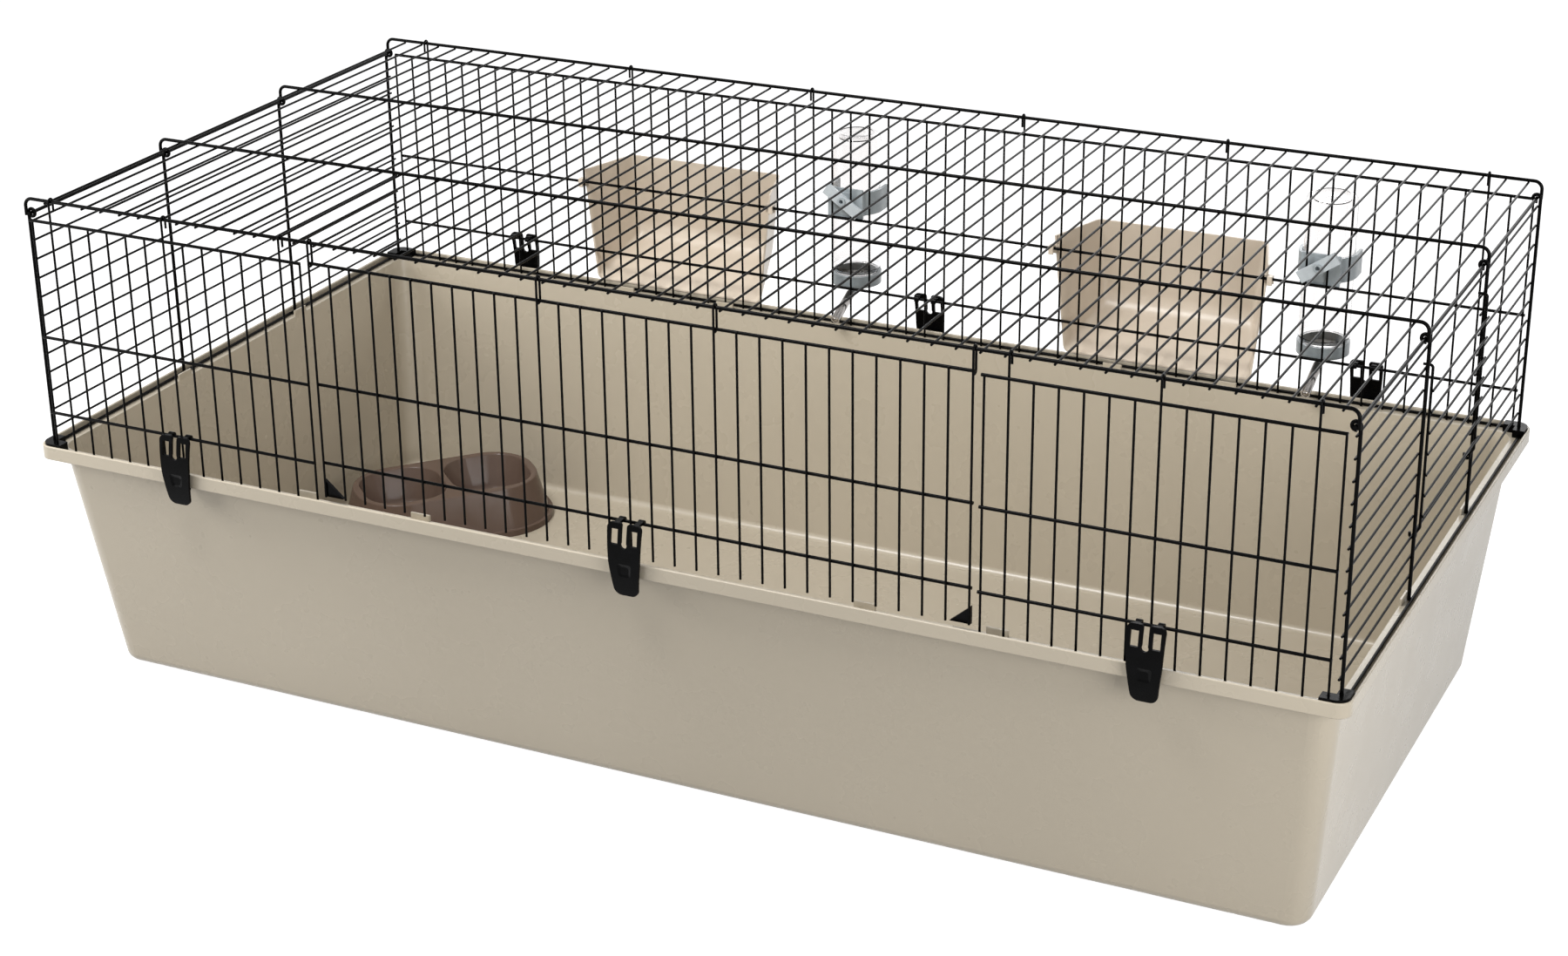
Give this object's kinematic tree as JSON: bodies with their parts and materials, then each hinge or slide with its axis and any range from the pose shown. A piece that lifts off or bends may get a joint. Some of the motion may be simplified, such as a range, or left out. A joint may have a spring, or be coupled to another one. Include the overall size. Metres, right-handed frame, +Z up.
{
  "type": "small animal cage",
  "caption": "Long indoor small animal cage with a deep plastic tray, a black wire top with swing-up front door and drop-down end door, clips, hay racks, drip bottles and a double bowl.",
  "frame": {"origin": "centre of the tray's flat underside", "axes": "+X along the cage to the end with the small door, the front door faces -Y, +Z up"},
  "size_m": [1.56, 0.8643, 0.5979],
  "materials": {
    "tray_plastic": "satin moulded",
    "rack_plastic": "satin moulded",
    "bowl_plastic": "soft gloss",
    "black_wire": "satin coat",
    "black_plastic": "gloss",
    "clear_plastic": "clear",
    "cap_plastic": "satin",
    "holder_plastic": "satin",
    "button_plastic": "satin",
    "seal_rubber": "matt",
    "spout_steel": "polished"
  },
  "bodies": {
    "base": {"tray": "tray_plastic", "roof_panel": "black_wire", "left_end_panel": "black_wire", "right_end_panel": "black_wire", "front_left_panel": "black_wire", "front_right_panel": "black_wire", "back_panel": "black_wire", "connector_front_left": "black_plastic", "connector_front_right": "black_plastic", "connector_back_left": "black_plastic", "connector_back_right": "black_plastic", "bottle_bracket_left": "holder_plastic", "bottle_bracket_right": "holder_plastic", "bracket_pin_left": "holder_plastic", "bracket_pin_right": "holder_plastic"},
    "front_door": {"front_door": "black_wire", "door_gusset_left": "black_plastic", "door_gusset_right": "black_plastic"},
    "end_door": {"end_door": "black_wire"},
    "food_bowl": {"food_bowl": "bowl_plastic"},
    "clip_front_left": {"clip_front_left": "black_plastic"},
    "clip_front_center": {"clip_front_center": "black_plastic"},
    "clip_front_right": {"clip_front_right": "black_plastic"},
    "clip_back_left": {"clip_back_left": "black_plastic"},
    "clip_back_center": {"clip_back_center": "black_plastic"},
    "clip_back_right": {"clip_back_right": "black_plastic"},
    "turn_button_left": {"turn_button_left": "button_plastic"},
    "bottle_left": {"bottle_left": "clear_plastic", "bottle_cap_left": "cap_plastic", "cap_seal_left": "seal_rubber", "spout_left": "spout_steel"},
    "spout_ball_left": {"spout_ball_left": "spout_steel"},
    "hay_rack_left": {"hay_rack_left": "rack_plastic"},
    "turn_button_right": {"turn_button_right": "button_plastic"},
    "bottle_right": {"bottle_right": "clear_plastic", "bottle_cap_right": "cap_plastic", "cap_seal_right": "seal_rubber", "spout_right": "spout_steel"},
    "spout_ball_right": {"spout_ball_right": "spout_steel"},
    "hay_rack_right": {"hay_rack_right": "rack_plastic"}
  },
  "joints": [
    {"name": "front_door_swing", "type": "hinge", "parent": "base", "child": "front_door", "pos_m": [0, -0.3745, 0.593], "axis": [-1, 0, 0], "range_deg": [0, 240]},
    {"name": "end_door_drop", "type": "hinge", "parent": "base", "child": "end_door", "pos_m": [0.7644, 0, 0.35882], "axis": [0, 1, 0], "range_deg": [0, 150]},
    {"name": "food_bowl_lift", "type": "slide", "parent": "base", "child": "food_bowl", "axis": [0, 0, 1], "range_m": [0, 0.15]},
    {"name": "clip_front_left_swing", "type": "hinge", "parent": "base", "child": "clip_front_left", "pos_m": [-0.5771, -0.381, 0.337], "axis": [-1, 0, 0], "range_deg": [0, 100]},
    {"name": "clip_front_center_swing", "type": "hinge", "parent": "front_door", "child": "clip_front_center", "pos_m": [0, -0.3752, 0.337], "axis": [-1, 0, 0], "range_deg": [0, 100]},
    {"name": "clip_front_right_swing", "type": "hinge", "parent": "base", "child": "clip_front_right", "pos_m": [0.5771, -0.381, 0.337], "axis": [-1, 0, 0], "range_deg": [0, 100]},
    {"name": "clip_back_left_swing", "type": "hinge", "parent": "base", "child": "clip_back_left", "pos_m": [-0.57825, 0.381, 0.337], "axis": [1, 0, 0], "range_deg": [0, 100]},
    {"name": "clip_back_center_swing", "type": "hinge", "parent": "base", "child": "clip_back_center", "pos_m": [0.01285, 0.381, 0.337], "axis": [1, 0, 0], "range_deg": [0, 100]},
    {"name": "clip_back_right_swing", "type": "hinge", "parent": "base", "child": "clip_back_right", "pos_m": [0.57825, 0.381, 0.337], "axis": [1, 0, 0], "range_deg": [0, 100]},
    {"name": "turn_button_left_turn", "type": "hinge", "parent": "base", "child": "turn_button_left", "pos_m": [-0.10023, 0.374, 0.455], "axis": [0, 1, 0], "range_deg": [-34, 56]},
    {"name": "bottle_left_pull", "type": "slide", "parent": "base", "child": "bottle_left", "axis": [0, 1, 0], "range_m": [0, 0.06]},
    {"name": "spout_ball_left_push", "type": "slide", "parent": "bottle_left", "child": "spout_ball_left", "axis": [0, 0.9206, 0.3905], "range_m": [0, 0.002]},
    {"name": "hay_rack_left_lift", "type": "slide", "parent": "base", "child": "hay_rack_left", "axis": [0, 0, 1], "range_m": [0, 0.06]},
    {"name": "turn_button_right_turn", "type": "hinge", "parent": "base", "child": "turn_button_right", "pos_m": [0.51657, 0.374, 0.455], "axis": [0, 1, 0], "range_deg": [-56, 34]},
    {"name": "bottle_right_pull", "type": "slide", "parent": "base", "child": "bottle_right", "axis": [0, 1, 0], "range_m": [0, 0.06]},
    {"name": "spout_ball_right_push", "type": "slide", "parent": "bottle_right", "child": "spout_ball_right", "axis": [0, 0.9206, 0.3905], "range_m": [0, 0.002]},
    {"name": "hay_rack_right_lift", "type": "slide", "parent": "base", "child": "hay_rack_right", "axis": [0, 0, 1], "range_m": [0, 0.06]}
  ]
}
